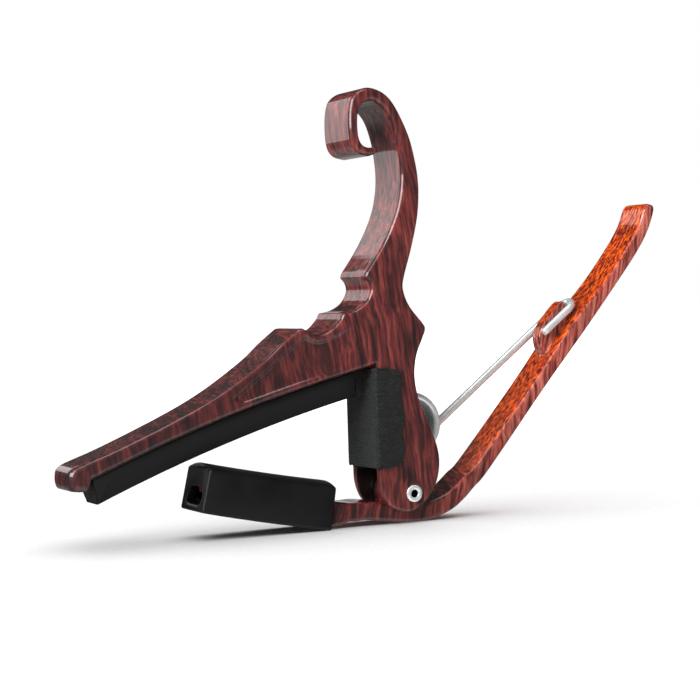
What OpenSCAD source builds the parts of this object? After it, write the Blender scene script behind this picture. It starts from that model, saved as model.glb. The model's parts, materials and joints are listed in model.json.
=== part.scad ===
// Quick-change guitar capo: a die-cast frame and lever on one rivet, closed by a torsion spring.
// Outlines are drawn in the X-Z plane about the pivot, with X along the jaws and Z up, and are
// extruded across the width, Y. The whole capo then stands on its lever and jaw sleeve.

/* [Frame] */
// Width of the frame casting
frame_w = 12; // [11:0.5:15]
// Width of the fretting bar at its tip
tip_w = 10; // [9.6:0.2:11]
// Length of the fretting bar, from the body to its tip, along its underside
jaw_len = 62; // [50:1:75]
// Height of the curl's top above the pivot
tail_top = 75.7; // [65:1:92]
// Height of the bar's underside above the pivot, where it meets the body
root_z = 24.4; // [24:0.2:25.2]
// Distance from the pivot to the body's front face
body_front = 7; // [6.8:0.1:7.6]
// Thickness of the cheek on each side of the channel
cheek_t = 1.5; // [1.2:0.1:1.9]
// Thickness of the web that closes the front of the channel
web_t = 2.6; // [2.2:0.1:2.8]
// Depth of the shallow panel in each side of the bar
panel_depth = 0.45; // [0.2:0.05:0.6]

/* [Fretting pad] */
// Radius of the fingerboard that the pad's face follows
face_r = 305; // [250:5:400]
// Slope of the bar where it meets the body, in degrees
root_tilt = 12.1; // [11:0.1:13]
// Thickness of the fretting pad
pad_t = 4.8; // [4:0.05:5.2]
// Width of the pad where it is bonded to the bar
pad_w = 9.2; // [8:0.1:9.4]
// Width of the pad's face on the strings
pad_face_w = 6; // [5:0.1:7.5]
// Thickness of the adhesive under the pads
glue_t = 0.15; // [0.1:0.05:0.2]

/* [Side pad] */
// Thickness of the fabric pad on the front of the body
fabric_t = 0.5; // [0.4:0.05:0.8]
// Height of the fabric pad's lower edge above the pivot
fabric_low = 5.2; // [5:0.1:7]

/* [Lever] */
// Gap between the lever and each cheek
side_gap = 0.2; // [0.15:0.05:0.3]
// Thickness of the handle
handle_t = 2.5; // [2.2:0.1:2.8]
// Thickness of the jaw arm
arm_t = 3.4; // [3:0.1:3.8]
// Width of the arm inside the sleeve
arm_w = 7.2; // [6.5:0.1:7.4]
// Radius of the boss round the rivet
boss_r = 3.7; // [3.4:0.1:4]
// Thickness of the fin that the spring's hook straddles
fin_t = 3; // [2.4:0.1:3.2]

/* [Jaw sleeve] */
// Length of the rubber sleeve
sleeve_len = 25.5; // [23:0.5:27]
// Width of the sleeve
sleeve_w = 11.4; // [10.5:0.1:12.5]
// Height of the sleeve's sides
sleeve_h = 7.9; // [7.4:0.1:8.2]
// Height of the crown on the neck side
sleeve_crown = 1; // [0.6:0.1:1.2]
// Clearance between the arm and the sleeve
sleeve_gap = 0.05; // [0.02:0.01:0.1]

/* [Spring] */
// Diameter of the spring wire
wire_d = 1.5; // [1.3:0.1:1.6]
// Mean radius of the coil
coil_r = 5.15; // [4.9:0.05:5.3]
// Gap between one turn and the next
turn_gap = 0.08; // [0.05:0.01:0.15]
// Gap between the spring's hook and the fin
hook_gap = 0.15; // [0.1:0.05:0.25]

/* [Rivet] */
// Diameter of the rivet
rivet_d = 3.2; // [2.8:0.1:3.4]
// Radial clearance of the rivet in the lever
rivet_gap = 0.06; // [0.03:0.01:0.09]
// Height of each rolled end above the cheek
rivet_proud = 0.1; // [0.05:0.05:0.2]

/* [Hidden] */
steps = 6;  // pieces that each span of a curve is drawn in
reach = 60; // a length that is longer than any cut
channel_w = frame_w - 2 * cheek_t;
lever_w = channel_w - 2 * side_gap;
rivet_r = rivet_d / 2;
wire_r = wire_d / 2;

// A smooth curve through the points p, as a Catmull-Rom spline
function curve(p, n = steps) = [
    for (i = [0 : len(p) - 2], k = [0 : n - 1])
        let (t = k / n, a = p[max(i - 1, 0)], b = p[i], c = p[i + 1], d = p[min(i + 2, len(p) - 1)])
            ((2 * b) + (c - a) * t + (2 * a - 5 * b + 4 * c - d) * t * t
             + (3 * b - a - 3 * c + d) * t * t * t) / 2,
    p[len(p) - 1]
];
function unit(v) = v / norm(v);
// Both sides of a strip along the points [x, z, thickness]
function strip(p) = let (
    c = curve(p),
    n = [for (i = [0 : len(c) - 1])
        let (d = unit([for (k = [0, 1]) c[min(i + 1, len(c) - 1)][k] - c[max(i - 1, 0)][k]])) [-d.y, d.x]])
    concat(
        [for (i = [0 : len(c) - 1]) [c[i].x, c[i].y] + n[i] * c[i].z / 2],
        [for (i = [len(c) - 1 : -1 : 0]) [c[i].x, c[i].y] - n[i] * c[i].z / 2]);

// The bar: s runs along its underside from the body, h is the height above the underside
under_r = face_r + pad_t + glue_t;
bar_centre = [-body_front, root_z] + under_r * [sin(root_tilt), -cos(root_tilt)];
function bar_angle(s) = root_tilt + s / under_r * 180 / PI;
function bar(s, h) = bar_centre + (under_r + h) * [-sin(bar_angle(s)), cos(bar_angle(s))];

lip_t = 4.1;        // length of the lip that covers the pad's end
lip_drop = 1.5;     // how far the lip comes down below the underside
pad_end_gap = 0.1;  // gap between the fretting pad and the lip
pad_root_gap = 2.1; // gap between the fretting pad and the side pad's face
peak = 13;          // distance of the bar's peak from the body
function bar_f(f, h) = bar(peak + f * (jaw_len - peak), h);
bar_top = curve([
    bar(jaw_len - 3, 3.2), bar_f(0.8, 2.75), bar_f(0.53, 3.2), bar_f(0.35, 4.45),
    bar_f(0.17, 7), bar_f(0.08, 9), bar(peak, 10.6)]);
bar_tip = curve([
    bar(jaw_len - lip_t + 0.6, -lip_drop / 2), bar(jaw_len - lip_t + 1.5, -lip_drop),
    bar(jaw_len - 1.2, -lip_drop + 0.1), bar(jaw_len, -0.4), bar(jaw_len, 1),
    bar(jaw_len - 0.9, 2.7), bar(jaw_len - 2, 3.2)]);
bar_under = [for (k = [0 : 16]) bar((jaw_len - lip_t) * k / 16, 0)];

// The ledges and scallops between the bar's peak and the tail
ledge_low = [-13.2, 34.2];
ledge_high = [-8.5, 40.7];
lip_high = [-8.2, 41.6];
scallop_low = curve([
    bar(peak - 0.9, 10.5), [-20.4, 31.2], [-18.2, 30.5], [-15.6, 31.4], ledge_low - [0.5, 1]]);
scallop_high = curve([ledge_low, [-10.8, 34.7], [-8.6, 36], [-7.4, 38], [-7.6, 39.6], ledge_high]);

// The tail and its curl: heights are shares of the run from the upper ledge to the curl's top
function tail(x, z) = [x, 42 + (tail_top - 42) * (z - 42) / 33.7];
tail_front = curve([
    lip_high, tail(-5.2, 45.7), tail(-3, 49.4), tail(-1.5, 52.8), tail(-0.7, 55.8),
    tail(-0.3, 59.2), tail(-0.5, 63), tail(-1.2, 67), tail(-2.7, 70.8), tail(-5.5, 73.2),
    tail(-8.1, 72.5), tail(-8.9, 70.4), tail(-8.9, 67), tail(-8.2, 65.2), tail(-6.7, 64.6)]);
curl_end = curve([tail(-5.8, 64.7), tail(-5.2, 64.2), tail(-5.6, 63.4)], 4);
tail_rear = curve([
    tail(-6.8, 63), tail(-9.3, 63.8), tail(-10.5, 66.2), tail(-10.5, 71.4), tail(-9.4, 74.4),
    tail(-6.2, 75.7), tail(-2.2, 73.6), tail(1.1, 67.7), tail(2.6, 62.4), tail(3.2, 57.5),
    tail(2.8, 52), tail(1.3, 46), [-0.5, 40.4], [-0.7, 38], [0.5, 35], [3.1, 31.8],
    [3.6, 30.6], [2.8, 28.6], [1.6, 25.8], [1.1, 22], [1.8, 17.7], [3.6, 13], [5.2, 9],
    [5.7, 5.5], [4.9, 1.7], [2.7, -1.4], [-0.4, -3.3], [-3.1, -3],
    [-5.5, -1.5], [-6.8, 1.6], [-body_front, fabric_low - 0.2]]);
frame_outline = concat(
    bar_under, bar_tip, bar_top, scallop_low, scallop_high, tail_front, curl_end, tail_rear);
taper_from = -20; // where the bar starts to narrow
panel_from = -9;  // where the side panels start to sink
panel_outline = concat(
    curve([bar(12, 8.9), bar(17.5, 6.7), bar(23, 4.5), bar(28.5, 2.5)]),
    curve([bar(27, 1.35), bar(16, 1.2), bar(5, 1.2)]),
    curve([[-9, 28.5], [-11, 31.5], [-14.6, 30.2], [-18.2, 29.1], [-20.6, 29.9]]));

// The lever: a strip [x, z, thickness] from the arm's tip, under the pivot and up the handle
lever_path = [
    [-39.6, 2.9, 2.3], [-28.6, 0.5, arm_t - 0.7], [-18, -1.6, arm_t - 0.2], [-12.2, -2.75, arm_t],
    [-8.9, -2.75, arm_t], [-4.4, -3.3, arm_t], [0.6, -3.85, arm_t], [4.3, -3.55, arm_t],
    [7.8, -2.5, arm_t], [10.3, -1, arm_t - 0.2], [13, 1.3, arm_t - 0.4], [16.2, 4.2, handle_t + 0.3],
    [28.7, 18.6, handle_t + 0.1], [38.3, 29.8, handle_t + 0.6], [45.8, 38.1, handle_t],
    [51, 44.4, handle_t], [53.7, 48.4, handle_t - 0.1], [55.2, 51.9, handle_t - 0.2],
    [55.6, 52.9, handle_t - 0.7], [55.75, 53.35, handle_t - 1.6]];
lever_outline = strip(lever_path);
floor_z = min([for (p = lever_outline) p.y]);
handle_end = max([for (p = lever_outline) p.x]);
tip_end = min([for (p = bar_tip) p.x]);
shoulder = [[-15.7, -0.5], [-16.7, -5], [-14.4, -4.95], [-12.3, -4.4], [-12.3, -1.1]];
neck_gap = 1.1; // gap between the sleeve and the lever's full width
heel_h = 5.3;   // height of the stop heel above the pivot
heel_x = 3.1;   // the heel's stop face
heel_t = 2.6;   // thickness of the heel
stop_gap = 0.05;
rib = [1.6, 2.2]; // size of the stop rib between the cheeks
rib_z = 3.4;      // its height above the pivot
fin_outline = concat(
    curve([[32.8, 23], [31.1, 25.6], [30.8, 28.4], [32, 30.7], [35, 33.9], [36.2, 34.7], [36.9, 34.3],
           [37.1, 33.2], [38.2, 31.6]]),
    [[38, 29], [33.5, 23.5]]);

// The sleeve follows the slight bend of the arm, with its lower inner corner on the floor
sleeve_r = 400;         // radius of the sleeve's own bend
sleeve_tilt = 9.8;      // slope of the sleeve at its inner end
sleeve_corner = [-17, floor_z];
sleeve_centre = sleeve_corner + (sleeve_r + sleeve_h / 2) * [sin(sleeve_tilt), cos(sleeve_tilt)];
sleeve_turn = sleeve_len / sleeve_r * 180 / PI;
window = [7.2, 3.2];    // size of the window in the sleeve's outer end
window_at = [-45, 3.1]; // its centre
window_tilt = 11;
window_run = 11.6;      // length of the cut, which meets the hollow for the arm

// The spring: a leg down the web, the coil, then a leg to the handle with a hook round the fin
coil = [1.9, 12.85];
hook = [38.6, 34.5];
hook_r = fin_t / 2 + hook_gap + wire_r;
pitch = wire_d + turn_gap;
to_hook = hook - coil;
leg_angle = atan2(to_hook.y, to_hook.x) + asin(coil_r / norm(to_hook));
turn_total = 3 * 360 + leg_angle + 90;
leg_dir = [cos(leg_angle), 0, sin(leg_angle)];
coil_y = hook_r - pitch * turn_total / 360;
fixed_leg = 9;
hook_return = 7;
spring_facets = 10;
function coil_point(a) = [
    coil.x + coil_r * cos(180 + a), coil_y + pitch * a / 360, coil.y + coil_r * sin(180 + a)];
leg_run = sqrt(norm(to_hook) ^ 2 - coil_r ^ 2) - hook_r;
hook_centre = [coil_point(turn_total).x, 0, coil_point(turn_total).z] + leg_dir * leg_run;
spring_path = concat(
    [for (k = [3 : -1 : 1]) coil_point(0) + [0, 0, fixed_leg * k / 3]],
    [for (a = [0 : 15 : turn_total]) coil_point(a)],
    [for (k = [1 : 6]) coil_point(turn_total) + leg_dir * leg_run * k / 6],
    [for (a = [15 : 15 : 180]) hook_centre + hook_r * ([0, cos(a), 0] + leg_dir * sin(a))],
    [for (k = [1, 2]) hook_centre - [0, hook_r, 0] - leg_dir * hook_return * k / 2]);

// Side vectors of a tube, each carried on from the one before it
function carried(tangents, i, side) = let (
    t = tangents[i], s = unit(side - t * (side * t)))
    i == len(tangents) - 1 ? [s] : concat([s], carried(tangents, i + 1, s));

module tube(path, r, facets) {
    last = len(path) - 1;
    tangents = [for (i = [0 : last]) unit(path[min(i + 1, last)] - path[max(i - 1, 0)])];
    sides = carried(tangents, 0, [0, 1, 0]);
    points = [for (i = [0 : last], k = [0 : facets - 1])
        let (a = 360 * k / facets)
            path[i] + r * (cos(a) * sides[i] + sin(a) * cross(tangents[i], sides[i]))];
    walls = [for (i = [0 : last - 1], k = [0 : facets - 1])
        let (a = i * facets + k, b = i * facets + (k + 1) % facets)
            each [[a, a + facets, b], [b, a + facets, b + facets]]];
    polyhedron(points, concat(
        walls,
        [[for (k = [0 : facets - 1]) k]],
        [[for (k = [facets - 1 : -1 : 0]) last * facets + k]]));
}

// Extrudes an outline in X-Z across the width
module across(w, y = 0) {
    translate([0, y, 0]) rotate([90, 0, 0]) linear_extrude(w, center = true) children();
}

// Turns a section [radius, y] about an axis along Y, over an angle from straight up, towards -X
module swept(centre, from, turn) {
    translate([centre.x, 0, centre.y]) rotate([90, 0, 0]) rotate([0, 0, 90 + from])
        rotate_extrude(angle = turn, $fn = 720) children();
}

module standing() {
    translate([-(tip_end + handle_end) / 2, 0, -floor_z]) children();
}

module pivot_hole(r) {
    rotate([90, 0, 0]) cylinder(h = reach, r = r, center = true, $fn = 64);
}

// Plan of the casting: full width at the body, narrower towards the bar's tip. The inset, for the
// shallow side panels, fades in along the bar
module plan(inset = 0) {
    side = [
        [reach, frame_w / 2], [panel_from, frame_w / 2], [taper_from, frame_w / 2 - inset],
        [tip_end, tip_w / 2 - inset]];
    translate([0, 0, -reach]) linear_extrude(4 * reach)
        for (s = [-1, 1]) scale([1, s]) polygon(concat(side, [[tip_end, 0], [reach, 0]]));
}

module channel() {
    web_low = fabric_low - 0.2;
    roof = root_z - 1.2;
    across(channel_w) polygon([
        [-body_front + web_t, web_low], [-reach, web_low], [-reach, -reach], [reach, -reach],
        [reach, roof - 3.2], [2, roof], [-body_front + web_t, roof]]);
}

module side_panels() {
    difference() {
        across(2 * frame_w) polygon(panel_outline);
        plan(panel_depth);
    }
}

module frame() {
    color("#5a1a18") standing() difference() {
        union() {
            difference() {
                intersection() {
                    across(frame_w) polygon(frame_outline);
                    plan();
                }
                side_panels();
                channel();
            }
            across(channel_w + cheek_t) translate([heel_x + stop_gap, rib_z]) square(rib);
        }
        pivot_hole(rivet_r);
    }
}

module lever() {
    color("#7a2a1c") standing() difference() {
        union() {
            intersection() {
                across(lever_w) polygon(lever_outline);
                translate([sleeve_corner.x + neck_gap, -reach, -reach]) cube(2 * reach);
            }
            across(arm_w) intersection() {
                polygon(lever_outline);
                translate([-2 * reach, -reach]) square([2 * reach + shoulder[3].x, 2 * reach]);
            }
            across(lever_w) polygon(shoulder);
            across(lever_w) circle(boss_r, $fn = 64);
            across(lever_w) translate([heel_x - heel_t, 0]) square([heel_t, heel_h]);
            across(fin_t) polygon(fin_outline);
        }
        pivot_hole(rivet_r + rivet_gap);
    }
}

module torsion_spring() {
    color("#d8dcdc") standing() tube(spring_path, wire_r, spring_facets);
}

module pivot_rivet() {
    recess_r = 0.85;
    recess_depth = 1.6;
    end = frame_w / 2 + rivet_proud;
    color("#e4e6e6") standing() rotate([90, 0, 0]) rotate_extrude($fn = 64) polygon([
        [0, recess_depth - end], [recess_r, recess_depth - end], [recess_r, -end], [rivet_r, -end],
        [rivet_r, end], [recess_r, end], [recess_r, end - recess_depth], [0, end - recess_depth]]);
}

pad_turn = bar_angle(jaw_len - lip_t - pad_end_gap);
end_lean = 0.7;  // how far the pad's end leans towards the tip
bond_gap = 0.01; // keeps the glue's round face off the flats of the bar's underside

module fretting_pad() {
    flank = 1.4;
    end_s = jaw_len - lip_t - pad_end_gap;
    color("#101010") standing() difference() {
        swept(bar_centre, pad_start(), bar_angle(end_s + end_lean) - pad_start()) polygon([
            [face_r, -pad_face_w / 2], [under_r - glue_t - flank, -pad_w / 2],
            [under_r - glue_t, -pad_w / 2], [under_r - glue_t, pad_w / 2],
            [under_r - glue_t - flank, pad_w / 2], [face_r, pad_face_w / 2]]);
        across(2 * frame_w) polygon([
            bar(end_s, 0), bar(end_s + end_lean, -pad_t), bar(end_s + end_lean, -2 * pad_t),
            bar(end_s + 4, -2 * pad_t), bar(end_s + 4, 0)]);
    }
}

// The pad starts where its lower corner stands just clear of the side pad
function pad_start() = asin((bar_centre.x + body_front + glue_t + fabric_t + pad_root_gap) / face_r);

module fretting_pad_adhesive() {
    color("#d8d2b8") standing() swept(bar_centre, pad_start(), pad_turn - pad_start())
        translate([under_r - glue_t, -pad_w / 2]) square([glue_t - bond_gap, pad_w]);
}

module jaw_sleeve() {
    top = sleeve_r - sleeve_h / 2;
    crown = [for (k = [0 : 12]) let (u = k / 6 - 1)
        [top - sleeve_crown * (1 - u * u), -u * sleeve_w / 2]];
    section = concat([[top + sleeve_h, -sleeve_w / 2], [top + sleeve_h, sleeve_w / 2]], crown);
    color("#1c1f1e") standing() difference() {
        translate([sleeve_centre.x, 0, sleeve_centre.y]) rotate([90, 0, 0])
            rotate([0, 0, -90 - sleeve_tilt - sleeve_turn])
                rotate_extrude(angle = sleeve_turn, $fn = 720) polygon(section);
        across(arm_w + 2 * sleeve_gap)
            polygon(strip([for (p = lever_path) [p.x, p.y, p.z + 2 * sleeve_gap]]));
        translate([window_at.x, 0, window_at.y]) rotate([0, 90 + window_tilt, 0])
            linear_extrude(window_run, center = true)
                hull() for (s = [-1, 1])
                    translate([0, s * (window.x - window.y) / 2]) circle(d = window.y, $fn = 32);
    }
}

// The wing's wavy rear edge has three lobes
wing = concat(
    [[-body_front - glue_t - fabric_t, root_z - 0.7], [-body_front - glue_t - fabric_t, fabric_low],
     [-5, fabric_low]],
    curve([[-4, fabric_low + 0.1], [-2.4, fabric_low + 1.4], [-1.8, 8.8], [-2.3, 11.4], [-1.8, 14.4],
           [-2.5, 18.6], [-2, 21.2], [-3, 23.2], [-5, root_z - 0.7]]));

module wrap(inner, thick) {
    front = body_front + inner + thick;
    half = frame_w / 2 + inner + thick;
    difference() {
        across(2 * half) intersection() {
            polygon(wing);
            translate([-front, -reach]) square(2 * reach);
        }
        across(2 * (half - thick)) translate([-body_front - inner, -reach]) square(2 * reach);
    }
}

module side_pad() {
    color("#2a2c2b") standing() wrap(glue_t, fabric_t);
}

module side_pad_adhesive() {
    color("#d8d2b8") standing() wrap(0, glue_t);
}

frame();
lever();
torsion_spring();
pivot_rivet();
fretting_pad();
fretting_pad_adhesive();
jaw_sleeve();
side_pad();
side_pad_adhesive();
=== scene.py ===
import json
import math

import bmesh
import bpy
import numpy as np
from mathutils import Matrix, Vector


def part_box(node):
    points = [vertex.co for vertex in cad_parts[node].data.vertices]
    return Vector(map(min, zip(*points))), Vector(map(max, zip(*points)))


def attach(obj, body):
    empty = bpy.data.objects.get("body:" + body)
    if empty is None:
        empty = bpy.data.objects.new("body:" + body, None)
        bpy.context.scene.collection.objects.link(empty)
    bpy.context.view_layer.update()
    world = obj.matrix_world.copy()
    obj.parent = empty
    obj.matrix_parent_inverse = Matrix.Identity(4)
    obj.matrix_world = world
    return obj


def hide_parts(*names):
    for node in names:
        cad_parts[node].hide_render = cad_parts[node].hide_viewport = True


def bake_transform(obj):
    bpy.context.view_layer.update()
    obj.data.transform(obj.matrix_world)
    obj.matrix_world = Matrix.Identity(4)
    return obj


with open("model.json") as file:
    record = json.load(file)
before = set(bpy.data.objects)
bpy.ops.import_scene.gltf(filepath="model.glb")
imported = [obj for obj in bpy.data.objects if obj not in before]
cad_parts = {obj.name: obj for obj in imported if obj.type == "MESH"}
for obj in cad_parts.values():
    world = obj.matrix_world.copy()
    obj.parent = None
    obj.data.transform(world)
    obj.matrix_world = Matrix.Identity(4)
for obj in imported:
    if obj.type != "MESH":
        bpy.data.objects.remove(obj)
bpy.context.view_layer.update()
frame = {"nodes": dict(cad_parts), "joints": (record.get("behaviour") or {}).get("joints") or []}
nodes = frame["nodes"]
joints = {joint["name"]: joint for joint in frame["joints"]}
mm = 0.001
weld = 1e-6  # m, points closer than this are one
pivot = np.array(joints["lever_pivot"]["pos_m"]) / mm  # every shape below is drawn in mm about the rivet
coilCentre = np.array(joints["spring_leg"]["pos_m"]) / mm - pivot
print("frame loaded")


# colours and nodes

def paint(hexText):  # an sRGB hex colour as linear RGBA
    parts = [int(hexText[k:k + 2], 16) / 255 for k in (1, 3, 5)]
    return [c / 12.92 if c <= 0.04045 else ((c + 0.055) / 1.055) ** 2.4 for c in parts] + [1]


def addNode(tree, kind, inputs=None, stops=None, **settings):
    new = tree.nodes.new(kind)
    for name, value in settings.items():
        setattr(new, name, value)
    for name, value in (inputs or {}).items():
        if isinstance(value, bpy.types.NodeSocket):
            tree.links.new(value, new.inputs[name])
        else:
            new.inputs[name].default_value = value
    if stops:
        ramp = new.color_ramp.elements
        while len(ramp) < len(stops):
            ramp.new(0.5)
        for element, (place, colour) in zip(ramp, stops):
            element.position = place
            element.color = colour
    return new


def startMaterial(name):  # the material and its empty node tree
    material = bpy.data.materials.new(name)
    material.use_nodes = True
    tree = material.node_tree
    tree.nodes.clear()
    return material, tree


def endMaterial(tree, shader):
    addNode(tree, "ShaderNodeOutputMaterial", {"Surface": shader.outputs["BSDF"]})


def grey(value):
    return [value, value, value, 1]


def greys(stops):  # the stops of a ramp, each a place and how light it is there
    return [(at, grey(value)) for at, value in stops]


vectorA, vectorB, vectorOut = 4, 5, 1  # places of a Mix node's sockets, which all have the same names
colourA, colourB, colourOut = 6, 7, 2
clearIor = 1.5          # lacquer and rubber
noiseMiddle = 0.5
noiseReach = 0.25       # how far a noise usually strays from its middle


# Wood-grain film, water-dipped onto a die casting and sealed under a thick clear lacquer: deep red
# and brown streaks seen through a wet, mirror-like coat
film = {
    "lean": 7,              # degrees that the streaks lean off upright
    "overTops": (78, 24),   # degrees about X and Z that lay the grain across the part on its tops
    "tops": (0.72, 0.74),   # how squarely a face looks up or down where the tops start, and are full
    "bend": 0.8,            # mm that the grain wanders
    "bendSize": 12,         # mm from one bend to the next
    "figure": (1.6, 15),    # mm, width and length of the dark figure
    "streak": (0.6, 9),     # mm, width and length of a streak
    "pore": (0.22, 1.6),    # mm, width and length of a pore line
    "cloud": 9,             # mm across a lighter or darker patch
    "places": (0.33, 0.43, 0.53, 0.68),  # where the four shades of a palette stand in a streak
    "red": ("#38171b", "#562022", "#742d2a", "#8e3f38"),      # on the frame
    "leverLight": ("#551c1c", "#93382e", "#b95a4c", "#d97c6a"),     # painted light: a paler copy of the shades, on the lever
    "orange": ("#400c08", "#8c2004", "#d84a06", "#f4741c"),   # painted light on the handle's inner face
    "dark": "#1c0f13",
    "channelShade": "#0b0909",      # painted shade, near black, on the channel's walls
    "figureShare": ((0.36, 0.8), (0.46, 0.3), (0.54, 0)),
    "figureUnderLeverLight": 0.45,     # the share of the dark figure left where the painted light on the lever is strongest
    "poreShade": ((0.34, 0.7), (0.46, 0.92), (0.6, 1)),
    "cloudShade": ((0.35, 0.85), (0.65, 1)),
    "underRoughness": (0.55, 0.4),       # of the film's dark and light streaks
    "underShine": 0.2,
    "coatRoughness": 0.035,
    "peel": 1.4,            # mm from one ripple of the lacquer's orange peel to the next
    "peelDepth": 0.1,       # mm
    "peelStrength": 0.05,
}


def dippedFilm(name, lean):
    material, tree = startMaterial(name)
    place = addNode(tree, "ShaderNodeTexCoord")
    inMm = addNode(tree, "ShaderNodeMapping", {
        "Vector": place.outputs["Object"], "Scale": (1 / mm, 1 / mm, 1 / mm),
        "Rotation": (0, math.radians(lean), 0)})
    aboutX, aboutZ = (math.radians(angle) for angle in film["overTops"])
    turned = addNode(tree, "ShaderNodeMapping", {
        "Vector": inMm.outputs["Vector"], "Rotation": (aboutX, 0, aboutZ)})
    face = addNode(tree, "ShaderNodeSeparateXYZ", {"Vector": place.outputs["Normal"]})
    rise = addNode(tree, "ShaderNodeMath", {0: face.outputs["Z"]}, operation="ABSOLUTE")
    topFrom, topFull = film["tops"]
    onTop = addNode(tree, "ShaderNodeMapRange", {
        "Value": rise.outputs["Value"], "From Min": topFrom, "From Max": topFull})
    laid = addNode(tree, "ShaderNodeMix", {
        "Factor": onTop.outputs["Result"], vectorA: inMm.outputs["Vector"],
        vectorB: turned.outputs["Vector"]}, data_type="VECTOR")
    bendMap = addNode(tree, "ShaderNodeTexNoise", {
        "Vector": inMm.outputs["Vector"], "Scale": 1 / film["bendSize"], "Detail": 2})
    centred = addNode(tree, "ShaderNodeVectorMath", {
        0: bendMap.outputs["Color"], 1: [noiseMiddle] * 3}, operation="SUBTRACT")
    bend = addNode(tree, "ShaderNodeVectorMath", {
        0: centred.outputs["Vector"], "Scale": film["bend"] / noiseReach}, operation="SCALE")
    grain = addNode(tree, "ShaderNodeVectorMath", {
        0: laid.outputs[vectorOut], 1: bend.outputs["Vector"]}, operation="ADD")
    noises = {}
    for kind, detail, distortion in (("figure", 1.5, 0.2), ("streak", 3, 0.2), ("pore", 2, 0)):
        width, length = film[kind]
        scaled = addNode(tree, "ShaderNodeMapping", {
            "Vector": grain.outputs["Vector"], "Scale": (1 / width, 1 / width, 1 / length)})
        noises[kind] = addNode(tree, "ShaderNodeTexNoise", {
            "Vector": scaled.outputs["Vector"], "Scale": 1, "Detail": detail, "Roughness": 0.5,
            "Distortion": distortion}).outputs["Fac"]
    cloud = addNode(tree, "ShaderNodeTexNoise", {
        "Vector": inMm.outputs["Vector"], "Scale": 1 / film["cloud"], "Detail": 1})
    palettes = {}
    for palette in ("red", "leverLight", "orange"):
        palettes[palette] = addNode(tree, "ShaderNodeValToRGB", {"Fac": noises["streak"]}, stops=[
            (at, paint(shade)) for at, shade in zip(film["places"], film[palette])]).outputs["Color"]
    stored = {}  # shares of painted light and shade kept at the castings' points
    for share in ("leverLight", "innerFaceLight", "channelShade", "deep"):
        stored[share] = addNode(tree, "ShaderNodeAttribute", attribute_name=share).outputs["Fac"]
    figureDark = addNode(tree, "ShaderNodeValToRGB", {"Fac": noises["figure"]},
                         stops=greys(film["figureShare"]))
    calm = addNode(tree, "ShaderNodeMapRange", {
        "Value": stored["leverLight"], "To Min": 1.0, "To Max": film["figureUnderLeverLight"]})
    figureHere = addNode(tree, "ShaderNodeMath", {
        0: figureDark.outputs["Color"], 1: calm.outputs["Result"]}, operation="MULTIPLY")
    poreDark = addNode(tree, "ShaderNodeValToRGB", {"Fac": noises["pore"]}, stops=greys(film["poreShade"]))
    patches = addNode(tree, "ShaderNodeValToRGB", {"Fac": cloud.outputs["Fac"]},
                      stops=greys(film["cloudShade"]))
    colour = palettes["red"]
    # the painted light on the lever and its inner face, and the painted shade in the channel and towards the
    # bar's tip, are laid over the film here
    for share, over, way in (
            (stored["leverLight"], palettes["leverLight"], "MIX"),
            (stored["innerFaceLight"], palettes["orange"], "MIX"),
            (figureHere.outputs["Value"], paint(film["dark"]), "MIX"),
            (1.0, poreDark.outputs["Color"], "MULTIPLY"),
            (1.0, patches.outputs["Color"], "MULTIPLY"),
            (stored["channelShade"], paint(film["channelShade"]), "MIX"),
            (stored["deep"], paint(film["dark"]), "MIX")):
        colour = addNode(tree, "ShaderNodeMix", {
            "Factor": share, colourA: colour, colourB: over}, data_type="RGBA",
            blend_type=way).outputs[colourOut]
    peel = addNode(tree, "ShaderNodeTexNoise", {
        "Vector": inMm.outputs["Vector"], "Scale": 1 / film["peel"], "Detail": 2})
    peelBump = addNode(tree, "ShaderNodeBump", {
        "Height": peel.outputs["Fac"], "Strength": film["peelStrength"],
        "Distance": film["peelDepth"] * mm})
    darkRough, lightRough = film["underRoughness"]
    under = addNode(tree, "ShaderNodeMapRange", {
        "Value": noises["streak"], "From Min": 0.3, "From Max": 0.7, "To Min": darkRough,
        "To Max": lightRough})
    shader = addNode(tree, "ShaderNodeBsdfPrincipled", {
        "Base Color": colour, "Roughness": under.outputs["Result"], "IOR": clearIor,
        "Specular IOR Level": film["underShine"], "Coat Weight": 1.0,
        "Coat Roughness": film["coatRoughness"], "Coat IOR": clearIor,
        "Coat Normal": peelBump.outputs["Normal"]})
    endMaterial(tree, shader)
    return material


# Bright nickel-plated steel, drawn into wire or rolled into a rivet: a hard white glint, with faint
# cloudy patches in the polish
plating = {
    "tint": "#f8fbfb",
    "shade": "#e6ebec",
    "boreShade": "#141517",     # painted shade inside the rivet's bore
    "patch": 0.9,           # mm across a patch
    "grit": 0.12,           # mm
    "gritDepth": 0.01,      # mm
    "gritStrength": 0.03,
    "metallic": 0.55,       # below 1, which keeps it near white against dark surroundings
    "polish": (0.7, 1.4),   # the roughness varies between these shares of its value
    "wire": 0.16,           # roughness of the spring
    "rivet": 0.2,
}


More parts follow.
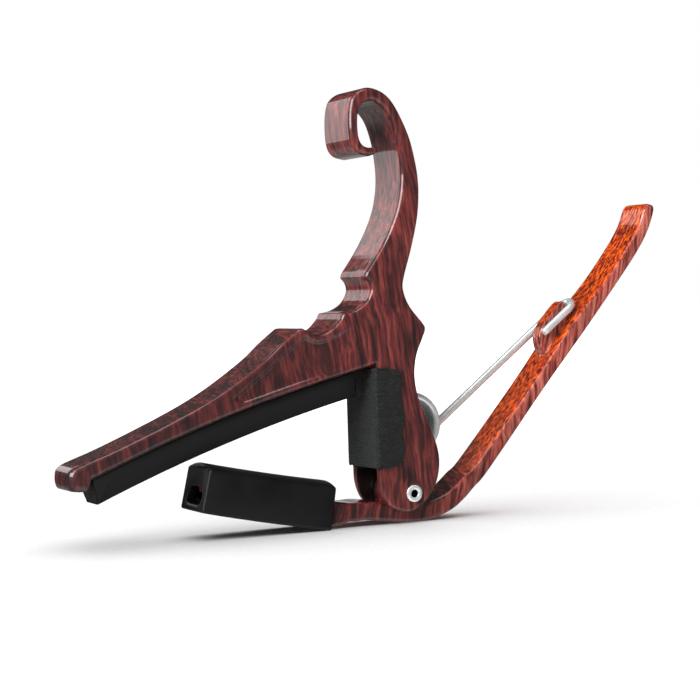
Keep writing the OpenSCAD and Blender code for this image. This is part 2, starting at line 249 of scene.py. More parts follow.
def platedSteel(name, roughness):
    material, tree = startMaterial(name)
    place = addNode(tree, "ShaderNodeTexCoord")
    inMm = addNode(tree, "ShaderNodeMapping", {
        "Vector": place.outputs["Object"], "Scale": (1 / mm, 1 / mm, 1 / mm)})
    cloud = addNode(tree, "ShaderNodeTexNoise", {
        "Vector": inMm.outputs["Vector"], "Scale": 1 / plating["patch"], "Detail": 3})
    grit = addNode(tree, "ShaderNodeTexNoise", {
        "Vector": inMm.outputs["Vector"], "Scale": 1 / plating["grit"], "Detail": 1})
    colour = addNode(tree, "ShaderNodeValToRGB", {"Fac": cloud.outputs["Fac"]}, stops=[
        (0.3, paint(plating["shade"])), (0.6, paint(plating["tint"]))])
    # painted shade in the rivet's recess
    bore = addNode(tree, "ShaderNodeAttribute", attribute_name="bore")
    shadedBore = addNode(tree, "ShaderNodeMix", {
        "Factor": bore.outputs["Fac"], colourA: colour.outputs["Color"],
        colourB: paint(plating["boreShade"])}, data_type="RGBA")
    smooth, dull = plating["polish"]
    rough = addNode(tree, "ShaderNodeMapRange", {
        "Value": cloud.outputs["Fac"], "To Min": roughness * smooth, "To Max": roughness * dull})
    bump = addNode(tree, "ShaderNodeBump", {
        "Height": grit.outputs["Fac"], "Strength": plating["gritStrength"],
        "Distance": plating["gritDepth"] * mm})
    shader = addNode(tree, "ShaderNodeBsdfPrincipled", {
        "Base Color": shadedBore.outputs[colourOut], "Metallic": plating["metallic"],
        "Roughness": rough.outputs["Result"], "Normal": bump.outputs["Normal"]})
    endMaterial(tree, shader)
    return material


# Moulded rubber: near black, with a fine tooth from the mould that spreads its highlights
padMould = {
    "dark": "#090909",
    "light": "#121212",
    "roughness": 0.62,
    "shine": 0.35,
    "tooth": 0.16,          # mm from one bump of the mould's surface to the next
    "depth": 0.03,          # mm
    "strength": 0.35,
    "patch": 6,             # mm across a duller or lighter patch
}
sleeveMould = {
    "dark": "#090909",
    "light": "#131313",
    "roughness": 0.42,
    "shine": 0.3,
    "tooth": 0.2,
    "depth": 0.02,
    "strength": 0.35,
    "patch": 6,
}


def mouldedRubber(name, mould):
    material, tree = startMaterial(name)
    place = addNode(tree, "ShaderNodeTexCoord")
    inMm = addNode(tree, "ShaderNodeMapping", {
        "Vector": place.outputs["Object"], "Scale": (1 / mm, 1 / mm, 1 / mm)})
    fine = addNode(tree, "ShaderNodeTexNoise", {
        "Vector": inMm.outputs["Vector"], "Scale": 1 / mould["tooth"], "Detail": 2})
    cloud = addNode(tree, "ShaderNodeTexNoise", {
        "Vector": inMm.outputs["Vector"], "Scale": 1 / mould["patch"], "Detail": 3})
    colour = addNode(tree, "ShaderNodeValToRGB", {"Fac": cloud.outputs["Fac"]}, stops=[
        (0.35, paint(mould["dark"])), (0.7, paint(mould["light"]))])
    rough = addNode(tree, "ShaderNodeMapRange", {
        "Value": cloud.outputs["Fac"], "From Min": 0.3, "From Max": 0.7,
        "To Min": mould["roughness"] - 0.05, "To Max": mould["roughness"] + 0.07})
    bump = addNode(tree, "ShaderNodeBump", {
        "Height": fine.outputs["Fac"], "Strength": mould["strength"], "Distance": mould["depth"] * mm})
    shader = addNode(tree, "ShaderNodeBsdfPrincipled", {
        "Base Color": colour.outputs["Color"], "Roughness": rough.outputs["Result"],
        "Specular IOR Level": mould["shine"], "IOR": clearIor, "Normal": bump.outputs["Normal"]})
    endMaterial(tree, shader)
    return material


# Woven nylon tape: charcoal yarns in brick-like rows, each catching a little light on its crown
weave = {
    "yarn": 0.44,           # mm from one row to the next
    "pass": 0.86,           # mm that a yarn shows before it dives under
    "gap": 0.16,            # mm
    "drift": (1.7, 0.22),   # mm between the rows' wavers, and how far they waver
    "fuzz": 0.12,           # mm
    "relief": 0.2,          # mm
    "crown": "#313433",
    "side": "#0c0d0d",
    "floor": "#050505",
    "sheen": "#8a8f8e",
}


def wovenNylon(name):
    material, tree = startMaterial(name)
    lay = addNode(tree, "ShaderNodeAttribute", attribute_name="clothPlace")
    driftSize, driftReach = weave["drift"]
    wander = addNode(tree, "ShaderNodeTexNoise", {
        "Vector": lay.outputs["Vector"], "Scale": 1 / driftSize, "Detail": 2})
    nudge = addNode(tree, "ShaderNodeVectorMath", {
        0: wander.outputs["Color"], "Scale": driftReach}, operation="SCALE")
    thread = addNode(tree, "ShaderNodeVectorMath", {
        0: lay.outputs["Vector"], 1: nudge.outputs["Vector"]}, operation="ADD")
    rows = addNode(tree, "ShaderNodeTexBrick", {
        "Vector": thread.outputs["Vector"], "Scale": 1, "Color1": grey(0.75), "Color2": grey(1),
        "Mortar": grey(0), "Mortar Size": weave["gap"] / 2, "Mortar Smooth": 1.0, "Bias": 0.0,
        "Brick Width": weave["pass"], "Row Height": weave["yarn"]}, offset=0.5)
    fuzz = addNode(tree, "ShaderNodeTexNoise", {
        "Vector": lay.outputs["Vector"], "Scale": 1 / weave["fuzz"], "Detail": 3})
    height = addNode(tree, "ShaderNodeMath", {
        0: rows.outputs["Color"], 1: fuzz.outputs["Fac"]}, operation="MULTIPLY")
    # painted shade in the gaps between yarns and a painted highlight on their crowns, by the yarns' height
    colour = addNode(tree, "ShaderNodeValToRGB", {"Fac": height.outputs["Value"]}, stops=[
        (0.05, paint(weave["floor"])), (0.3, paint(weave["side"])), (0.62, paint(weave["crown"]))])
    bump = addNode(tree, "ShaderNodeBump", {
        "Height": height.outputs["Value"], "Strength": 1.0, "Distance": weave["relief"] * mm})
    shader = addNode(tree, "ShaderNodeBsdfPrincipled", {
        "Base Color": colour.outputs["Color"], "Roughness": 0.78, "Specular IOR Level": 0.35,
        "Sheen Weight": 0.1, "Sheen Roughness": 0.4, "Sheen Tint": paint(weave["sheen"]),
        "Normal": bump.outputs["Normal"]})
    endMaterial(tree, shader)
    return material


# Acrylic transfer tape: a smoky film with a soft, blotchy shine
glue = {
    "dark": "#1d1b19",
    "light": "#35312c",
    "blot": 2.5,            # mm
    "roughness": (0.3, 0.6),
    "ior": 1.47,
}


def transferTape(name):
    material, tree = startMaterial(name)
    place = addNode(tree, "ShaderNodeTexCoord")
    blot = addNode(tree, "ShaderNodeTexNoise", {
        "Vector": place.outputs["Object"], "Scale": 1 / (glue["blot"] * mm), "Detail": 3})
    colour = addNode(tree, "ShaderNodeValToRGB", {"Fac": blot.outputs["Fac"]}, stops=[
        (0.3, paint(glue["dark"])), (0.7, paint(glue["light"]))])
    shiny, dull = glue["roughness"]
    rough = addNode(tree, "ShaderNodeMapRange", {
        "Value": blot.outputs["Fac"], "To Min": shiny, "To Max": dull})
    shader = addNode(tree, "ShaderNodeBsdfPrincipled", {
        "Base Color": colour.outputs["Color"], "Roughness": rough.outputs["Result"],
        "IOR": glue["ior"]})
    endMaterial(tree, shader)
    return material


frameFilm = dippedFilm("woodFilmUnderLacquer", film["lean"])
leverFilm = dippedFilm("woodFilmUnderLacquerLever", -film["lean"])
wireSteel = platedSteel("brightNickelMusicWire", plating["wire"])
rivetSteel = platedSteel("nickelPlatedRivetSteel", plating["rivet"])
padRubber = mouldedRubber("mattEpdmRubber", padMould)
sleeveRubber = mouldedRubber("mouldedSiliconeRubber", sleeveMould)
padCloth = wovenNylon("wovenNylonTape")
tape = transferTape("acrylicTransferTape")
print("materials made")


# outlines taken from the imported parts, and fields that say how far a point is outside a shape

mapping = {
    "step": 0.24,           # mm, grid of an outline's distance map
    "margin": 3,            # mm round the outline
    "segment": 0.5,         # mm, an outline is cut into pieces less than twice as long
    "touch": 0.03,          # mm, outlines closer than this share a side
    "probe": 0.03,          # mm, step for a field's slope
    "hop": 0.3,             # mm, the most that a point moves in one round
    "rounds": 6,
    "evenRounds": (1, 3),   # rounds that first even out the points' spacing
}


def faceLoops(node, wanted):  # closed outlines of the wanted faces on the +Y side, the longest first
    mesh = bmesh.new()
    mesh.from_mesh(node.data)
    bmesh.ops.remove_doubles(mesh, verts=mesh.verts, dist=weld)
    chosen = {f for f in mesh.faces if f.normal.y > 0.9 and wanted(f.calc_center_median() / mm)}
    nextTo = {}
    for edge in mesh.edges:
        if sum(f in chosen for f in edge.link_faces) == 1:
            a, b = edge.verts
            nextTo.setdefault(a, []).append(b)
            nextTo.setdefault(b, []).append(a)
    loops = []
    unused = set(nextTo)
    while unused:
        start = min(unused, key=lambda v: v.index)
        loop = [start]
        unused.discard(start)
        here = start
        while True:
            onward = [v for v in nextTo[here] if v in unused]
            if not onward:
                break
            here = onward[0]
            unused.discard(here)
            loop.append(here)
        points = np.array([list(v.co) for v in loop]) / mm - pivot
        loops.append(points)
    mesh.free()
    spans = [np.linalg.norm(np.diff(p, axis=0), axis=1).sum() for p in loops]
    return [loops[k] for k in np.argsort(spans)[::-1]]


def resampled(loop, step):  # the loop with more points, all less than two steps apart
    points = []
    for a, b in zip(loop, np.roll(loop, -1, axis=0)):
        count = max(1, int(np.linalg.norm(b - a) / step))
        points.extend(a + (b - a) * k / count for k in range(count))
    return np.array(points)


def segmentDistance(p, a, b):  # from each point to each segment
    run = b - a
    share = ((p[:, None] - a) * run).sum(2) / np.maximum((run * run).sum(1), 1e-12)
    nearest = a + np.clip(share, 0, 1)[..., None] * run
    return np.linalg.norm(p[:, None] - nearest, axis=2)


def planMap(loops):  # signed distance to the joined outlines, on a grid
    step, margin = mapping["step"], mapping["margin"]
    loops = [resampled(loop[:, [0, 2]], mapping["segment"]) for loop in loops]
    kept = []
    for k, loop in enumerate(loops):
        a, b = loop, np.roll(loop, -1, axis=0)
        shared = np.zeros(len(a), bool)
        for m, other in enumerate(loops):
            if m != k:
                gap = segmentDistance((a + b) / 2, other, np.roll(other, -1, axis=0)).min(1)
                shared |= gap < mapping["touch"]
        kept.append((a[~shared], b[~shared]))
    a = np.concatenate([pair[0] for pair in kept])
    b = np.concatenate([pair[1] for pair in kept])
    low = np.min([loop.min(0) for loop in loops], axis=0) - margin
    high = np.max([loop.max(0) for loop in loops], axis=0) + margin
    xs = np.arange(low[0], high[0], step)
    zs = np.arange(low[1], high[1], step)
    grid = np.zeros((len(xs), len(zs)))
    for k, x in enumerate(xs):
        p = np.stack([np.full(len(zs), x), zs], 1)
        inside = np.zeros(len(zs), bool)
        for loop in loops:
            start, end = loop, np.roll(loop, -1, axis=0)
            spans = (start[:, 1] > zs[:, None]) != (end[:, 1] > zs[:, None])
            rise = np.where(end[:, 1] == start[:, 1], 1e-9, end[:, 1] - start[:, 1])
            meets = start[:, 0] + (zs[:, None] - start[:, 1]) / rise * (end[:, 0] - start[:, 0])
            inside |= (spans & (meets > x)).sum(1) % 2 == 1
        grid[k] = segmentDistance(p, a, b).min(1) * np.where(inside, -1, 1)
    slopeX, slopeZ = np.gradient(grid, step)

    def sample(x, z):
        u = np.clip((x - low[0]) / step, 0, len(xs) - 1.001)
        v = np.clip((z - low[1]) / step, 0, len(zs) - 1.001)
        i, j = u.astype(int), v.astype(int)
        u, v = u - i, v - j
        return ((grid[i, j] * (1 - u) + grid[i + 1, j] * u) * (1 - v)
                + (grid[i, j + 1] * (1 - u) + grid[i + 1, j + 1] * u) * v)

    def facing(x, z):  # which way the nearest part of the outline faces
        i = np.clip((x - low[0]) / step + 0.5, 0, len(xs) - 1).astype(int)
        j = np.clip((z - low[1]) / step + 0.5, 0, len(zs) - 1).astype(int)
        size = np.maximum(np.hypot(slopeX[i, j], slopeZ[i, j]), 1e-6)
        return slopeX[i, j] / size, slopeZ[i, j] / size
    return sample, facing


def smoothMax(a, b, k):  # the larger one, rounded over a width k where they cross
    h = np.maximum(k - np.abs(a - b), 0) / k
    return np.maximum(a, b) + h * h * k / 4


def smoothMin(a, b, k):
    return -smoothMax(-a, -b, k)


def smoothStep(low, high, x):
    t = np.clip((x - low) / (high - low), 0, 1)
    return t * t * (3 - 2 * t)


def roundedSlab(flat, side, r):  # an outline of some width, its edges rounded to radius r
    a, b = flat + r, side + r
    return np.minimum(np.maximum(a, b), 0) + np.hypot(np.maximum(a, 0), np.maximum(b, 0)) - r


def linkPiece(name, mesh, material):
    piece = bpy.data.objects.new(name, mesh)
    bpy.context.scene.collection.objects.link(piece)
    mesh.materials.clear()
    mesh.materials.append(material)
    return piece


def addShade(piece, name, values):  # a value at each point, for the piece's material
    piece.data.attributes.new(name, "FLOAT", "POINT").data.foreach_set("value", values.astype(np.float32))


def surfaceOf(piece):  # the points in mm from the rivet, and their normals
    points, normals = np.empty(len(piece.data.vertices) * 3), np.empty(len(piece.data.vertices) * 3)
    piece.data.vertices.foreach_get("co", points)
    piece.data.vertex_normals.foreach_get("vector", normals)
    return points.reshape(-1, 3) / mm - pivot, normals.reshape(-1, 3)


def settled(name, node, voxel, field, material):  # the solid remeshed, then moved onto its field's zero
    mesh = node.data.copy()
    mesh.transform(Matrix.Scale(1 / mm, 4) @ Matrix.Translation(Vector(-pivot * mm)))
    draft = linkPiece(name, mesh, material)
    remesh = draft.modifiers.new("Even", "REMESH")
    remesh.mode = "VOXEL"
    remesh.voxel_size = voxel * 1
    even = bpy.data.meshes.new_from_object(draft.evaluated_get(bpy.context.evaluated_depsgraph_get()))
    draft.modifiers.clear()
    draft.data = even
    even.name = name
    count = len(even.vertices)
    v = np.empty(count * 3)
    even.vertices.foreach_get("co", v)
    v = v.reshape(-1, 3)
    ends = np.empty(len(even.edges) * 2, int)
    even.edges.foreach_get("vertices", ends)
    ends = ends.reshape(-1, 2)
    degree = np.bincount(ends.ravel(), minlength=count)[:, None]
    probe, hop = mapping["probe"], mapping["hop"]
    for turn in range(mapping["rounds"]):
        if turn in mapping["evenRounds"]:
            total = np.stack([np.bincount(ends[:, 0], v[ends[:, 1], k], count)
                              + np.bincount(ends[:, 1], v[ends[:, 0], k], count) for k in range(3)], 1)
            v = v + 0.5 * (total / degree - v)
        here = field(v)
        slope = np.stack([(field(v + probe * np.eye(3)[k]) - here) / probe for k in range(3)], 1)
        size = np.maximum((slope * slope).sum(1), 0.2)
        v = v - np.clip(here / size, -hop, hop)[:, None] * slope
    v = (v + pivot) * mm
    even.vertices.foreach_set("co", v.ravel())
    even.update()
    even.shade_smooth()
    print(name, "has", len(even.polygons), "faces")
    return draft


# frame casting

casting = {
    "voxel": 0.24,
    "edge": 0.85,          # radius of the front and top edges
    "tipEdge": 1.5,        # radius at the bar's tip
    "tipRun": (5, 1),      # mm from the tip over which it grows
    "rearEdge": 0.45,      # radius of the rear edges
    "rearFacing": (0.1, 0.7),  # how squarely an edge faces back where they start, and are full
    "cheekEdge": 0.5,      # radius of the cheeks' edges
    "cheekTop": (2, -4),   # mm above the channel's roof where the cheeks start, and are full
    "cheekFront": (-9, -7),  # the same in X
    "webBack": -4.4,       # the web ends here, behind the front face
    "webLow": 5.0,
    "roof": 23.2,          # top of the channel
    "channelHalf": 4.5,
    "rib": (3.15, 4.75, 3.4, 5.6),  # stop rib between the cheeks: x from, to, z from, to
    "ribOverlap": 0.3,     # how far it runs into the cheeks
    "fillet": (1.2, 0.7, 0.35, 0.3, 0.2),  # web, channel's roof, channel's mouth, rib, rivet hole
    "sideFrom": 4.8,       # mm off the middle, beyond which a face belongs to the casting's sides
    "panelStep": 0.012,    # a face sunk by more than this is the panel's floor
    "panelDepth": 0.45,
    "panelFades": (-9, -20),
    "panelRim": 0.7,       # width of the slope into the panel
    "rivetHole": 1.62,
    "barShadeRun": (-8, -30),  # mm in X from the rivet over which painted shade darkens the film, towards the bar's tip
    "barShadeShare": 0.45,
}


def frameCasting():
    node = nodes["frame"]
    sides = faceLoops(node, lambda c: c.y > casting["sideFrom"])
    outline, outlineFacing = planMap(sides[:1])
    order = np.argsort(sides[0][:, 0])
    nose = sides[0][:, 0].min()
    edge = casting["edge"]
    topFrom, topFull = (casting["roof"] + rise for rise in casting["cheekTop"])
    tipFrom, tipFull = casting["tipRun"]
    onWeb, onRoof, onMouth, onRib, onHole = casting["fillet"]

    def halfAt(x):  # half the casting's width, which tapers along it
        return np.interp(x, sides[0][order, 0], sides[0][order, 1])

    def onPanel(c):
        return casting["sideFrom"] < c.y < halfAt(c.x - pivot[0]) - casting["panelStep"]

    panel = planMap(faceLoops(node, onPanel)[:1])[0]

    def field(v):
        x, y, z = v[:, 0], np.abs(v[:, 1]), v[:, 2]
        flat = outline(x, z)
        back = smoothStep(*casting["rearFacing"], outlineFacing(x, z)[0])
        r = edge + (casting["rearEdge"] - edge) * back
        cheeks = smoothStep(topFrom, topFull, z) * smoothStep(*casting["cheekFront"], x)
        r = r + (casting["cheekEdge"] - r) * cheeks
        r = r + (casting["tipEdge"] - r) * smoothStep(nose + tipFrom, nose + tipFull, x)
        sink = casting["panelDepth"] * smoothStep(*casting["panelFades"], x)
        sink = sink * smoothStep(-casting["panelRim"] / 2, casting["panelRim"] / 2, -panel(x, z))
        outer = roundedSlab(flat, y - halfAt(x) + sink, r)
        web = np.maximum(x - casting["webBack"], casting["webLow"] - z)
        keep = smoothMin(web, casting["roof"] - z, onWeb)
        hollow = smoothMin(casting["channelHalf"] - y, keep, onRoof)
        f = smoothMax(outer, hollow, onMouth)
        x0, x1, z0, z1 = casting["rib"]
        ribX = np.abs(x - (x0 + x1) / 2) - (x1 - x0) / 2
        ribZ = np.abs(z - (z0 + z1) / 2) - (z1 - z0) / 2
        rib = np.maximum(np.maximum(ribX, ribZ), y - casting["channelHalf"] - casting["ribOverlap"])
        f = smoothMin(f, rib, onRib)
        return smoothMax(f, casting["rivetHole"] - np.hypot(x, z), onHole)

    piece = settled("frame_casting", node, casting["voxel"], field, frameFilm)
    x, y, z = surfaceOf(piece)[0].T
    # painted shade: the channel's walls get a near-black colour
    walls = (np.abs(y) < casting["channelHalf"] + 0.06) & (z < casting["roof"] + 0.3)
    walls &= (x > casting["webBack"] + 0.2) | (z < casting["webLow"] + 0.2)
    addShade(piece, "channelShade", walls)
    # painted shade: the film is darkened towards the bar's tip
    addShade(piece, "deep", casting["barShadeShare"] * smoothStep(*casting["barShadeRun"], x))
    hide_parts("frame")
    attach(piece, "frame")


frameCasting()

# lever casting

leverShape = {
    "voxel": 0.22,
    "half": 4.3,
    "armHalf": 3.6,
    "finHalf": 1.5,
    "innerEdge": 0.85,     # radius of the edges that face the frame
    "outerEdge": 0.5,
    "armEdge": 0.7,
    "finEdge": 0.6,
    "finRoot": 0.8,        # fillet at the fin's root
    "holeFillet": 0.2,
    "rivetHole": 1.66,
    "leverLightRun": (0, 24),    # mm in X from the rivet over which painted light makes the film paler, towards the handle's tip
    "innerFaceLightRun": (7, 20),    # the same for the painted orange light on the handle's inner face
    "inward": (0.5, 0.85),  # how squarely a face looks inward where the painted orange light starts, and is full
}


def leverCasting():
    node = nodes["lever"]

    def level(half):
        return faceLoops(node, lambda c: abs(c.y - half) < 0.05)[:1]

    outerEdge = leverShape["outerEdge"]
    main = level(leverShape["half"])
    mainMap, mainFacing = planMap(main)
    armMap = planMap(main + level(leverShape["armHalf"]))[0]
    finMap = planMap(main + level(leverShape["finHalf"]))[0]

    def field(v):
        x, y, z = v[:, 0], np.abs(v[:, 1]), v[:, 2]
        nx, nz = mainFacing(x, z)
        inner = smoothStep(-0.5, 0.5, (nz - nx) * math.sqrt(0.5))
        r = outerEdge + (leverShape["innerEdge"] - outerEdge) * inner
        body = roundedSlab(mainMap(x, z), y - leverShape["half"], r)
        arm = roundedSlab(armMap(x, z), y - leverShape["armHalf"], leverShape["armEdge"])
        fin = roundedSlab(finMap(x, z), y - leverShape["finHalf"], leverShape["finEdge"])
        root = 0.01 + leverShape["finRoot"] * smoothStep(0.05, 0.5, mainMap(x, z) - finMap(x, z))
        f = smoothMin(np.minimum(body, arm), fin, root)
        return smoothMax(f, leverShape["rivetHole"] - np.hypot(x, z), leverShape["holeFillet"])

    piece = settled("lever_casting", node, leverShape["voxel"], field, leverFilm)
    points, normals = surfaceOf(piece)
    x = points[:, 0]
    inward = smoothStep(*leverShape["inward"], (normals[:, 2] - normals[:, 0]) * math.sqrt(0.5))
    # painted light: the lever's film grows paler towards the handle's tip
    addShade(piece, "leverLight", smoothStep(*leverShape["leverLightRun"], x))
    # painted light: the handle's inward-looking faces turn orange
    addShade(piece, "innerFaceLight", smoothStep(*leverShape["innerFaceLightRun"], x) * inward)
    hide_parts("lever")
    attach(piece, "lever")


leverCasting()

# torsion spring

wire = {
    "radius": 0.75,
    "coilRadius": 5.15,
    "pitch": 1.58,         # one turn to the next
    "turns": 3,            # whole turns, before the part turn up to the moving leg
    "fixedLeg": 9,
    "hookAt": (38.6, 34.5),
    "hookRadius": 2.4,
    "hookReturn": 7,
    "chamfer": 0.12,       # at the wire's cut ends
    "round": 20,           # facets round the wire
    "steps": {"fixedLeg": 12, "coil": 190, "leg": 30, "hook": 16, "hookReturn": 8},
    "tilt": 0.155,         # a lean towards the hook; the direction worked out from it is not used
}


def springWire():
    c = Vector((coilCentre[0], 0, coilCentre[2]))
    toHook = Vector((wire["hookAt"][0] - c.x, wire["hookAt"][1] - c.z))
    legAngle = math.atan2(toHook.y, toHook.x) + math.asin(wire["coilRadius"] / toHook.length)
    total = wire["turns"] * 2 * math.pi + legAngle + math.pi / 2
    along = Vector((math.cos(legAngle), 0, math.sin(legAngle)))
    yStart = wire["hookRadius"] - wire["pitch"] * total / (2 * math.pi)
    steps, chamfer, hookRadius = wire["steps"], wire["chamfer"], wire["hookRadius"]

    def coilPoint(a):
        y = yStart + wire["pitch"] * a / (2 * math.pi)
        return c + Vector((wire["coilRadius"] * math.cos(math.pi + a), y,
                           wire["coilRadius"] * math.sin(math.pi + a)))

    run = math.sqrt(toHook.length ** 2 - wire["coilRadius"] ** 2) - hookRadius
    hookCentre = coilPoint(total) + along * run
    hookCentre.y = 0
    path = [coilPoint(0) + Vector((0, 0, wire["fixedLeg"] * k / steps["fixedLeg"]))
            for k in range(steps["fixedLeg"], 0, -1)]
    path += [coilPoint(total * k / steps["coil"]) for k in range(steps["coil"] + 1)]
    path += [coilPoint(total) + along * (run * k / steps["leg"]) for k in range(1, steps["leg"] + 1)]
    side = Vector((0, 1, 0))
    path += [hookCentre + hookRadius * (side * math.cos(a) + along * math.sin(a))
             for a in (math.pi * k / steps["hook"] for k in range(1, steps["hook"] + 1))]
    path += [hookCentre - side * hookRadius - along * (wire["hookReturn"] * k / steps["hookReturn"])
             for k in range(1, steps["hookReturn"] + 1)]
    rings = []  # each ring's centre, its direction and two directions across it
    normal = Vector((0, 1, 0))
    last = len(path) - 1
    for k, p in enumerate(path):
        tangent = (path[min(k + 1, last)] - path[max(k - 1, 0)]).normalized()
        normal = (normal - tangent * normal.dot(tangent)).normalized()
        rings.append((p, tangent, normal, tangent.cross(normal)))
    first, end = rings[0], rings[-1]
    sections = [(first[0], wire["radius"] - chamfer, first)]
    sections.append((first[0] + first[1] * chamfer, wire["radius"], first))
    sections += [(ring[0], wire["radius"], ring) for ring in rings[1:-1]]
    sections.append((end[0] - end[1] * chamfer, wire["radius"], end))
    sections.append((end[0], wire["radius"] - chamfer, end))
    mesh = bmesh.new()
    rows = []
    for centre, r, ring in sections:
        row = []
        for k in range(wire["round"]):
            a = 2 * math.pi * k / wire["round"]
            p = centre + ring[2] * (r * math.cos(a)) + ring[3] * (r * math.sin(a))
            row.append(mesh.verts.new((p + Vector(pivot)) * mm))
        rows.append(row)
    for lower, upper in zip(rows, rows[1:]):
        for k in range(wire["round"]):
            m = (k + 1) % wire["round"]
            mesh.faces.new((lower[k], lower[m], upper[m], upper[k]))
    mesh.faces.new(rows[0][::-1])
    mesh.faces.new(rows[-1])
    bmesh.ops.recalc_face_normals(mesh, faces=mesh.faces)
    data = bpy.data.meshes.new("torsion_spring_wire")
    mesh.to_mesh(data)
    mesh.free()
    for polygon in data.polygons:
        polygon.use_smooth = len(polygon.vertices) == 4
    piece = linkPiece("torsion_spring_wire", data, wireSteel)
    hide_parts("torsion_spring")
    lean = Vector((wire["tilt"] * along.x, 1, wire["tilt"] * along.z))
    lean.normalize()
    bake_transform(piece)
    print("spring wound,", len(data.polygons), "faces")


springWire()

# rivet

rivet = {
    "radius": 1.6,
    "eye": 0.72,           # radius of the recess at the middle of the rolled end
    "proud": 0.22,         # of the cheek
    "deep": 1.5,           # of the recess
    "rollDrop": 0.462,     # how far the rolled edge falls away, for each mm of its half width
    "rollSteps": 12,
    "boreShadeEdge": (0.08, -0.04),  # mm outside the recess where the painted shade starts, and is full
    "facets": 64,
}


def tubularRivet():
    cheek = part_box("frame")[1][1] / mm
    r, eye, top = rivet["radius"], rivet["eye"], cheek + rivet["proud"]
    roll = (r - eye) / 2
    middle = (r + eye) / 2
    profile = [(0, cheek - rivet["deep"]), (eye * 0.75, cheek - rivet["deep"]), (eye * 0.95, cheek - 0.4)]
    for k in range(rivet["rollSteps"] + 1):
        a = math.pi * (1 - k / rivet["rollSteps"])
        profile.append((middle + roll * math.cos(a), top - rivet["rollDrop"] * roll * (1 - math.sin(a))))
    profile.append((r, cheek - 0.3))
    profile = profile + [(radius, -y) for radius, y in reversed(profile)]
    mesh = bmesh.new()
    rows = []
    for radius, y in profile:
        if radius == 0:
            rows.append([mesh.verts.new(Vector((pivot[0], y, pivot[2])) * mm)])
            continue
        row = []
        for k in range(rivet["facets"]):
            a = 2 * math.pi * k / rivet["facets"]
            row.append(mesh.verts.new(Vector((pivot[0] + radius * math.cos(a), y,
                                              pivot[2] + radius * math.sin(a))) * mm))
        rows.append(row)
    for lower, upper in zip(rows, rows[1:]):
        for k in range(rivet["facets"]):
            m = (k + 1) % rivet["facets"]
            if len(lower) == 1:
                mesh.faces.new((lower[0], upper[m], upper[k]))
            elif len(upper) == 1:
                mesh.faces.new((lower[k], lower[m], upper[0]))
            else:
                mesh.faces.new((lower[k], lower[m], upper[m], upper[k]))
    bmesh.ops.recalc_face_normals(mesh, faces=mesh.faces)
    data = bpy.data.meshes.new("rolled_rivet")
    mesh.to_mesh(data)
    mesh.free()
    data.shade_smooth()
    piece = linkPiece("rolled_rivet", data, rivetSteel)
    points = surfaceOf(piece)[0]
    shadeFrom, shadeFull = rivet["boreShadeEdge"]
    across = np.hypot(points[:, 0], points[:, 2])
    # painted shade: full inside the recess at the rivet's middle
    addShade(piece, "bore", smoothStep(eye + shadeFrom, eye + shadeFull, across))
    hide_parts("pivot_rivet")
    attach(piece, "frame")
    print("rivet rolled")


tubularRivet()

# rubber parts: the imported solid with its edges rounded

rubber = {
    "padEdge": 0.35,
    "sleeveEdge": 0.45,
    "flat": 0.05,          # degrees; faces that meet at less than this become one
    "sharp": 40,           # degrees; sharper corners than this are rounded
    "segments": 4,
}


def roundedCopy(name, nodeName, edge, material):
    mesh = nodes[nodeName].data.copy()
    mesh.name = name
    work = bmesh.new()
    work.from_mesh(mesh)
    bmesh.ops.remove_doubles(work, verts=work.verts, dist=weld)
    bmesh.ops.dissolve_limit(work, angle_limit=math.radians(rubber["flat"]), verts=work.verts,
                             edges=work.edges)
    work.to_mesh(mesh)
    work.free()
    piece = linkPiece(name, mesh, material)
    bevel = piece.modifiers.new("Edges", "BEVEL")
    bevel.width = edge * mm
    bevel.segments = rubber["segments"]
    bevel.limit_method = "ANGLE"
    bevel.angle_limit = math.radians(rubber["sharp"])
    bevel.use_clamp_overlap = False
    bevel.harden_normals = True
    mesh.shade_smooth()
    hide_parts(nodeName)
    return piece


strip = roundedCopy("fretting_pad_rubber", "fretting_pad", rubber["padEdge"], padRubber)
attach(strip, "frame")
sleeve = roundedCopy("jaw_sleeve_rubber", "jaw_sleeve", rubber["sleeveEdge"], sleeveRubber)
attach(sleeve, "lever")
print("rubber parts rounded")

# side pad: one strip of woven tape folded round the front of the body

cloth = {
    "step": 0.16,          # from one row of points to the next
    "across": 150,         # faces along a row
    "thick": 0.46,
    "fold": 0.75,          # outside radius of the fold
    "fray": 0.05,          # how far the cut edges wander
    "seed": 4,             # of the wandering
}


